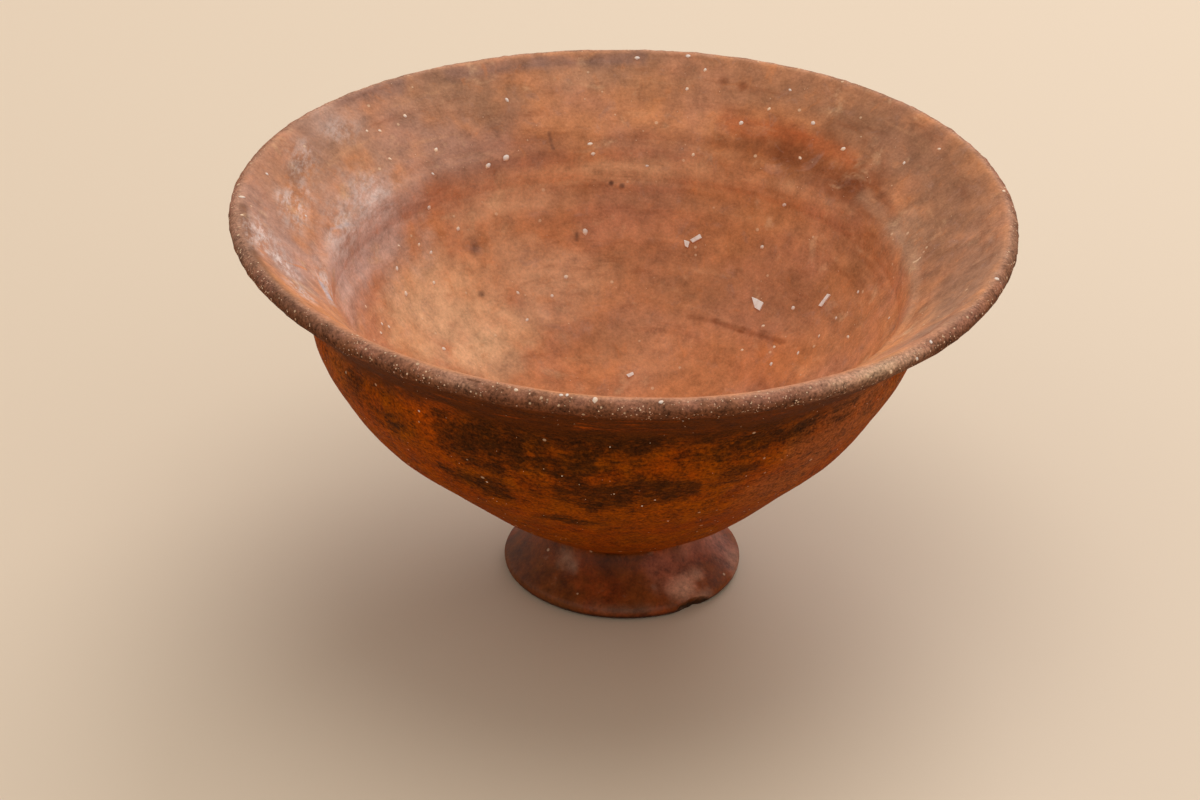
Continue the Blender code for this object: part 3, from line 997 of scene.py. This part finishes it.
class Painter:
    """Lays soft washes and lines at places found on the clay."""

    def __init__(self, bench, skin, where, ragged):
        self.bench = bench
        self.skin = skin
        self.where = where
        self.ragged = ragged

    def place(self, pixel, reach, strength=1.0):
        """A soft-edged place: its strength in the middle, 0 outside."""
        middle, _ = on_clay(self.skin, pixel)
        tightness = Vector([1000 / length for length in reach])
        away = self.bench.vector("MULTIPLY_ADD", self.where, tightness, -middle * tightness)
        far = self.bench.calc("ADD", self.bench.vector("LENGTH", away, out=1), self.ragged)
        return self.bench.ramp(far, 1.15, 0.15, 0.0, strength)

    def line(self, start, end, half_width, strength=1.0):
        """A soft line, or a dot where both ends are the same."""
        first, last = on_clay(self.skin, start)[0], on_clay(self.skin, end)[0]
        along = last - first
        away = self.bench.vector("SUBTRACT", self.where, first)
        if along.length > 0:
            share = self.bench.vector("DOT_PRODUCT", away, along / along.length_squared, out=1)
            held = self.bench.calc("ADD", share, 0.0, clamp=True)
            passed = self.bench.scaled(tuple(along), held)
            away = self.bench.vector("SUBTRACT", away, passed)
        far = self.bench.calc("MULTIPLY_ADD", self.bench.vector("LENGTH", away, out=1),
                              1000 / half_width, self.ragged)
        return self.bench.ramp(far, 1.5, 0.3, 0.0, strength)

    def coat(self, washes, bands=()):
        """Washes and bands over one another: their color, black where bare, and their cover."""
        masks = [(self.place(*wash[:2], wash[3]), wash[2]) for wash in washes]
        masks += [(self.line(*band[:3], band[4]), band[3]) for band in bands]
        color, cover = BARE, 0.0
        for mask, tint in masks:
            color = self.bench.blend(mask, color, tint)
            bare = self.bench.calc("SUBTRACT", 1.0, cover)
            cover = self.bench.calc("MULTIPLY_ADD", mask, bare, cover)
        return color, cover

    def lines(self, color, lines):
        """The lines over a color, one after another."""
        for start, end, half_width, tint, strength in lines:
            mask = self.line(start, end, half_width, strength)
            color = self.bench.blend(mask, color, tint)
        return color

    def gathered(self, places):
        """The strongest of several places."""
        most = 0.0
        for pixel, reach, *strength in places:
            most = self.bench.calc("MAXIMUM", most, self.place(pixel, reach, *strength))
        return most


def wash_tree(skin):
    """Lays the washes, the soot's and the film's places on the body's points."""
    bench, given, result = new_tree("lay_washes", "Geometry", {
        "Clay": "Geometry",
        "Ragged Scale": 150.0,
        "Ragged Reach": 0.9,
        "Material": "Material",
    }, {"Washed": "Geometry"})
    where = bench.shape("InputPosition")
    uneven = bench.swing(where, given["Ragged Scale"], 3.0, 0.65)
    ragged = bench.times(uneven, given["Ragged Reach"], 2.0)
    painter = Painter(bench, skin, where, ragged)
    clay = given["Clay"]
    for name, tables in (("inside_wash", (INSIDE_WASHES, INSIDE_BANDS)),
                         ("outside_wash", (OUTSIDE_WASHES,)),
                         ("foot_wash", (FOOT_WASHES,)),
                         ("lip_wash", (LIP_WASHES,))):
        color, cover = painter.coat(*tables)
        clay = bench.keep(clay, name, color, "FLOAT_COLOR")
        clay = bench.keep(clay, name + "_cover", cover)
    for name, places in (("soot", SOOT_PLACES), ("film", FILM_PLACES)):
        clay = bench.keep(clay, name, painter.gathered(places))
    return bench.hand_over(clay, given["Material"], result["Washed"])


def new_finish(name):
    """A fresh material, a bench on its nodes, and its shader's inputs."""
    material = bpy.data.materials.new(name)
    material.use_nodes = True
    return material, Bench(material.node_tree), material.node_tree.nodes["Principled BSDF"].inputs


def clay_finish(skin, groups):
    """The fired clay of the whole body, inside, outside, lip and foot."""
    material, bench, shader = new_finish("worn_fired_clay")
    where = bench.put("ShaderNodeTexCoord", out="Object")

    def mark(name, out="Fac"):
        return bench.put("ShaderNodeAttribute", out=out, attribute_name=name)

    inside, lip, crest, on_foot = mark("inside"), mark("lip"), mark("crest"), mark("foot")
    around = round_the_wheel(bench, where, mark("run"))
    grained = use_group(bench, groups["grain"], {"Where": where, "Around": around}).node.outputs
    _, north, height = bench.split(where)
    broad, drift, bloom = (bench.noise(where, *kind) for kind in (BROAD, DRIFT, BLOOM))
    ragged = bench.ramp(bench.noise(where, *RAGGED), 0.25, 0.75, -0.45, 0.45, False)
    painter = Painter(bench, skin, where, ragged)
    patchy = bench.ramp(ragged, -0.30, 0.30, 0.76, 1.0, False)

    def washed(under, name):
        """The washes of that name over a color, a little uneven."""
        cover = bench.times(mark(name + "_cover"), patchy)
        laid = bench.blend(patchy, BARE, mark(name, "Color"))
        return bench.blend(1.0, bench.blend(cover, under, BARE), laid, "ADD")

    # Inside: red to orange clay, then the washes, lines and film; among them painted shade and
    # highlight about the ridge, and a painted bluish sheen on the film.
    inner = bench.lay(RED_CLAY, ORANGE_CLAY, broad, 0.35, 0.65)
    inner = bench.lay(inner, BROWN_CLAY, drift, 0.48, 0.76, 0.60)
    inner = washed(inner, "inside_wash")
    inner = painter.lines(inner, INSIDE_LINES)
    inner = bench.lay(inner, OCHRE, drift, 0.43, 0.24, 0.45)
    inner = bench.lay(inner, DUSTY_PINK, bloom, 0.54, 0.74, 0.35)
    inner = bench.lay(inner, BRIGHT_ORANGE, bloom, 0.44, 0.26, 0.30)
    # Rings of painted shade and painted highlight round the wall, as the throwing rings take the
    # light.
    rings = bench.noise(bench.vector("MULTIPLY", around, (0.5, 0.5, 1.0)), *RINGS)
    on_wall = bench.ramp(height, *WALL_START)
    for low, high, most, tint in ((0.54, 0.74, 0.36, DARK_CLAY_AND_SHADE), (0.46, 0.28, 0.26, RIDGE_HIGHLIGHT)):
        ring = bench.times(bench.ramp(rings, low, high, 0.0, most), on_wall)
        inner = bench.blend(ring, inner, tint)
    tangent = bench.vector("MULTIPLY", where, (3.0, 0.9, 3.0))
    smears = bench.ramp(bench.noise(tangent, *SMEARS), 0.40, 0.62)
    film_and_sheen = bench.lay(FILM_AND_BLUE_SHEEN, FILM_WHITE, height, *FILM_TURN)
    inner = bench.blend(bench.times(mark("film"), smears), inner, film_and_sheen)

    # Outside: rust, with painted shade under the flare, wiped sideways, with soot over it.
    outer = bench.lay(RUST, RUST_LOW, drift, 0.35, 0.7)
    outer = bench.lay(outer, UNDER_FLARE_SHADE, height, *FLARE_SHADE, 0.92)
    outer = washed(outer, "outside_wash")
    outer = bench.lay(outer, BRIGHT_RUST, bench.noise(around, *GLOW), 0.54, 0.74, 0.60)
    outer = bench.lay(outer, SOOT_BROWN, bench.noise(around, *PITS), 0.51, 0.67, 0.75)
    outer = bench.lay(outer, SOOT_BROWN, grained["Streak"], 0.50, 0.74, 0.40)
    behind = bench.ramp(north, *FAR_SIDE, 0.0, 0.50)
    clouds = use_group(bench, groups["soot"], {
        "Around": around, "Gather": bench.calc("MAXIMUM", mark("soot"), behind),
    }).node.outputs
    bare = bench.ramp(height, *SOOT_TOP)
    for cloud, share, soot in zip(clouds, SOOT_SHARES, (SOOT_BROWN, SOOT_BLACK)):
        outer = bench.blend(bench.times(cloud, bare, share), outer, soot)

    # The foot: smooth and dark, brown to maroon, blackened along its lower edge.
    foot_color = bench.lay(FOOT_MAROON, FOOT_BROWN, drift, 0.38, 0.66, 0.6)
    foot_color = washed(foot_color, "foot_wash")
    foot_color = bench.lay(foot_color, FOOT_FILM_AND_SHEEN, bloom, 0.56, 0.78, 0.30)
    foot_color = bench.blend(bench.times(mark("fresh"), FRESH_COVER), foot_color, FOOT_BROWN)
    foot_color = bench.lay(foot_color, SOOT_BLACK, height, *BLACK_EDGE, 0.75)
    outer = bench.blend(on_foot, outer, foot_color)

    color = bench.blend(inside, outer, inner)

    # The lip: grey-brown and purplish, with painted shade on its lower, outer side, and paler
    # along its top from wear and a painted sheen.
    lip_color = bench.lay(LIP_BROWN, LIP_PURPLE, drift, 0.4, 0.65)
    lip_color = washed(lip_color, "lip_wash")
    # Painted shade darkens the lip's lower, outer side.
    lip_color = bench.lay(lip_color, LIP_LOWER_SHADE, inside, 0.74, 0.20, 0.80)
    # Paler along the top: wear and painted sheen.
    rubbed_and_sheen = bench.times(crest, bench.ramp(drift, 0.30, 0.60, 0.35, 0.9))
    lip_color = bench.blend(rubbed_and_sheen, lip_color, LIP_PALE)
    lip_color = painter.lines(lip_color, LIP_LINES)
    color = bench.blend(bench.times(lip, LIP_COVER), color, lip_color)

    # Mottling, and grit showing through.
    bump_reach, coarse_reach, fine_reach = (
        bench.ramp(inside, 0.0, 1.0, *reach, False)
        for reach in (BUMP_REACH, COARSE_REACH, FINE_REACH)
    )
    mottle = bench.ramp(grained["Mottle"], 0.3, 0.7, -1.0, 1.0, False)
    coarse_reach = bench.calc("MULTIPLY_ADD", on_foot, COARSE_ON_FOOT, coarse_reach)
    coarse_reach = bench.calc("MULTIPLY_ADD", lip, COARSE_ON_LIP, coarse_reach)
    speckle = bench.ramp(grained["Speckle"], 0.25, 0.75, -1.0, 1.0, False)
    fine_reach = bench.times(bench.calc("MULTIPLY_ADD", on_foot, FINE_ON_FOOT, 1.0), fine_reach)
    fine_reach = bench.calc("MULTIPLY_ADD", lip, FINE_ON_LIP, fine_reach)
    shade = bench.calc("MULTIPLY_ADD", mottle, coarse_reach,
                       bench.calc("MULTIPLY_ADD", speckle, fine_reach, 1.0))
    tone = bench.put("ShaderNodeCombineColor", {0: shade, 1: shade, 2: shade})
    color = bench.blend(1.0, color, tone, "MULTIPLY")
    few, many = (use_group(bench, groups["specks"], {"Where": where, **kind})
                 for kind in (FEW_SPECKS, MANY_SPECKS))
    grit = bench.calc("MAXIMUM", few, bench.times(many, lip))
    shown = bench.times(grit, bench.calc("MULTIPLY_ADD", lip, 0.2, 0.5))
    color = bench.blend(shown, color, CREAM_GRIT)
    bench.feed(shader["Base Color"], color)

    dull = bench.ramp(grained["Mottle"], 0.3, 0.7, 0.62, 0.82, False)
    bench.feed(shader["Roughness"], dull)
    bench.feed(shader["Coat Weight"], bench.times(on_foot, FOOT_GLOSS))
    shader["Coat Roughness"].default_value = GLOSS_BLUR
    shader["Specular IOR Level"].default_value = CLAY_SHEEN
    relief = bench.calc("MULTIPLY_ADD", grit, 0.5, grained["Height"])
    relief = bench.times(relief, bench.calc("MULTIPLY_ADD", lip, BUMP_ON_LIP, bump_reach))
    bench.feed(shader["Normal"], bench.put("ShaderNodeBump", {
        "Strength": 0.6, "Distance": CLAY_BUMP, "Height": relief,
    }))
    return material


def pale_finish(name, tint, other, groups):
    """Lime and quartz: pale, a little dirty, dull."""
    material, bench, shader = new_finish(name)
    where = bench.put("ShaderNodeTexCoord", out="Object")
    grained = use_group(bench, groups["grain"], {
        "Where": where, "Around": where, "Coarse": 520.0,
    }).node.outputs
    bench.feed(shader["Base Color"], bench.lay(tint, other, grained["Mottle"], 0.40, 0.66))
    bench.feed(shader["Roughness"],
               bench.ramp(grained["Speckle"], 0.3, 0.7, 0.45, 0.75, False))
    bench.feed(shader["Normal"], bench.put("ShaderNodeBump", {
        "Strength": 0.4, "Distance": GRIT_BUMP, "Height": grained["Height"],
    }))
    return material


def floor_finish():
    """A plain pale floor."""
    material, _, shader = new_finish("pale_floor")
    shader["Base Color"].default_value = FLOOR_TONE
    shader["Roughness"].default_value = FLOOR_DULLNESS
    return material


# Grit that stands proud.

GRIT_FLATNESS = 0.6
SMALL_SHARE = 2.5            # the higher, the more of the grains are small
KNOBS = (1.6, 2.0)           # noise that makes a lime grain knobbly: scale and detail


def lip_grit_tree():
    """Scatters small grains over the lip and thinly over the rest."""
    bench, given, result = new_tree("scatter_lip_grit", "Geometry", {
        "Clay": "Geometry",
        "Lip Density": 800000.0,
        "Body Density": 12000.0,
        "Smallest": 0.00009,
        "Largest": 0.00022,
        "Seed": 7,
        "Material": "Material",
    }, {"Grit": "Geometry"})
    lip = bench.kept("lip")
    patchy = bench.ramp(bench.noise(bench.shape("InputPosition"), 110.0, 2.0), 0.40, 0.72,
                        0.15, 1.0)
    dense = bench.calc("ADD", bench.times(lip, given["Lip Density"], patchy),
                       given["Body Density"])
    dense = bench.times(dense, bench.calc("SUBTRACT", 1.0, bench.kept("foot")))
    points = bench.shape("DistributePointsOnFaces", {
        "Mesh": given["Clay"], "Density": dense, "Seed": given["Seed"],
    }, distribute_method="RANDOM").node.outputs
    mostly_small = bench.calc("POWER", bench.lot(0.0, 1.0, given["Seed"]), SMALL_SHARE)
    small = bench.times(mostly_small, bench.calc("MULTIPLY_ADD", lip, 0.7, 0.3))
    size = bench.put("ShaderNodeMapRange", {
        "Value": small, "To Min": given["Smallest"], "To Max": given["Largest"],
    })
    flat = bench.put("ShaderNodeCombineXYZ", {
        0: size, 1: size, 2: bench.times(size, GRIT_FLATNESS),
    })
    grain = bench.shape("MeshIcoSphere", {"Radius": 1.0, "Subdivisions": 1})
    grains = bench.shape("InstanceOnPoints", {
        "Points": points["Points"], "Instance": grain, "Rotation": points["Rotation"],
        "Scale": flat,
    })
    return bench.hand_over(grains, given["Material"], result["Grit"])


def lime_grain_tree():
    """Seats a flattened grain at each point, square to the clay there."""
    bench, given, result = new_tree("seat_lime_grains", "Geometry", {
        "Places": "Geometry",
        "Flatness": 0.35,
        "Seed": 3,
        "Material": "Material",
    }, {"Grains": "Geometry"})
    turned = bench.put("FunctionNodeAlignRotationToVector", {
        "Vector": bench.kept("out_of_clay", "FLOAT_VECTOR"),
    }, axis="Z")
    lot = bench.lot(0.75, 1.25, given["Seed"])
    half = bench.times(bench.kept("width"), 0.5)
    size = bench.put("ShaderNodeCombineXYZ", {
        0: bench.times(half, lot), 1: bench.calc("DIVIDE", half, lot),
        2: bench.times(half, given["Flatness"]),
    })
    grain = bench.shape("MeshIcoSphere", {"Radius": 1.0, "Subdivisions": 2})
    here = bench.shape("InputPosition")
    knobs = bench.ramp(bench.noise(here, *KNOBS), 0.3, 0.7, -0.14, 0.22)
    grain = bench.shape("SetPosition", {"Geometry": grain, "Offset": bench.scaled(here, knobs)})
    grains = bench.shape("InstanceOnPoints", {
        "Points": given["Places"], "Instance": grain, "Rotation": turned, "Scale": size,
    })
    return bench.hand_over(grains, given["Material"], result["Grains"])


def lime_places(skin):
    """A point mesh: where each lime grain sits, which way is out, and how wide it is."""
    places, outwards, widths = [], [], []
    for across, down, width in LIME_GRAINS:
        place, normal = on_clay(skin, (across, down))
        places.append(place)
        outwards.append(normal)
        widths.append(width * (place - EYE).length / FOCAL_PIXELS)
    mesh = bpy.data.meshes.new("lime_places")
    mesh.from_pydata(places, [], [])
    note(mesh, "out_of_clay", outwards, "FLOAT_VECTOR", "vector")
    note(mesh, "width", widths)
    return mesh


FLAKE_LIFT = 0.00022         # how far a flake stands off the clay
FLAKE_ROOT = 0.00030         # and how far it is sunk in
FLAKE_EDGE = 0.00010         # how far its edges are worn off


def flakes(skin, material):
    """Thin pale chips, each a little slab between the clay and its own top."""
    corners, faces = [], []
    for outline in FLAKES:
        first = len(corners)
        seats = [on_clay(skin, pixel) for pixel in outline]
        count = len(seats)
        for place, normal in seats:
            corners.append(place - normal * FLAKE_ROOT)
        for place, normal in seats:
            corners.append(place + normal * FLAKE_LIFT)
        faces.append([first + i for i in range(count)])
        faces.append([first + count + i for i in reversed(range(count))])
        for i in range(count):
            j = (i + 1) % count
            faces.append([first + j, first + i, first + count + i, first + count + j])
    mesh = bpy.data.meshes.new("pale_flakes")
    mesh.from_pydata(corners, [], faces)
    slabs = set_down("pale_flakes", mesh)
    edge = slabs.modifiers.new("worn_edge", "BEVEL")
    edge.width = FLAKE_EDGE
    edge.segments = 2
    mesh.materials.append(material)
    return slabs


def dress(piece):
    """The piece belongs to the bowl."""
    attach(piece, "root")


# Putting it together.

groups = {
    "grain": grain_group(),
    "specks": speck_group(),
    "soot": soot_group(),
}
raw = made_by(wheel_tree(), "raw_bowl", profile_line())
skin = skin_of(raw)
body = made_by(wash_tree(skin), "thrown_bowl", raw.data.copy(),
               Material=clay_finish(skin, groups))
dress(body)
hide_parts("bowl")

cream = pale_finish("cream_grit", CREAM_GRIT, LIP_PINK, groups)
lime = pale_finish("chalky_lime", LIME, CREAM_GRIT, groups)
chalk = pale_finish("white_flake", CHALK, LIME, groups)
dress(made_by(lip_grit_tree(), "lip_grit", raw.data.copy(), Material=cream))
bpy.data.objects.remove(raw)
dress(made_by(lime_grain_tree(), "lime_grains", lime_places(skin), Material=lime))
dress(flakes(skin, chalk))


FLOOR_SIZE = 6.0


def stand_floor():
    """The surface that the bowl stands on."""
    bpy.ops.mesh.primitive_plane_add(size=FLOOR_SIZE)
    floor = bpy.context.object
    floor.name = "floor"
    floor.data.materials.append(floor_finish())


def set_camera():
    """The eye at the photograph's place and angle."""
    right, up, forward = eye_axes()
    lens = bpy.data.cameras.new("eye")
    lens.sensor_width = SENSOR
    lens.lens = FOCAL_PIXELS * SENSOR / PHOTO_WIDTH
    lens.clip_start = NEAR_CLIP
    camera = set_down("eye", lens)
    turn = Matrix((right, up, -forward)).transposed().to_4x4()
    camera.matrix_world = Matrix.Translation(EYE) @ turn
    bpy.context.scene.camera = camera


LIT_POINT = Vector((0.0, 0.0, 0.05))


def soft_light(name, place, size, power, color):
    """A large soft lamp that faces the bowl."""
    lamp = bpy.data.lights.new(name, "AREA")
    lamp.shape = "DISK"
    lamp.size = size
    lamp.energy = power
    lamp.color = color
    item = set_down(name, lamp)
    item.location = place
    item.rotation_euler = (LIT_POINT - Vector(place)).to_track_quat("-Z", "Y").to_euler()


def light_studio():
    """Soft daylight from behind and above, and a pale room around."""
    soft_light("window", (0.55, 1.20, 1.15), 1.1, 10.5, (0.97, 0.98, 1.0))
    soft_light("ceiling", (0.10, 0.25, 1.60), 1.4, 7.4, (1.0, 0.99, 0.97))
    room = bpy.data.worlds.new("room")
    room.use_nodes = True
    backdrop = room.node_tree.nodes["Background"]
    backdrop.inputs["Color"].default_value = (1.0, 0.97, 0.93, 1.0)
    backdrop.inputs["Strength"].default_value = 0.60
    bpy.context.scene.world = room


stand_floor()
set_camera()
light_studio()
bpy.context.scene.view_settings.view_transform = "Standard"
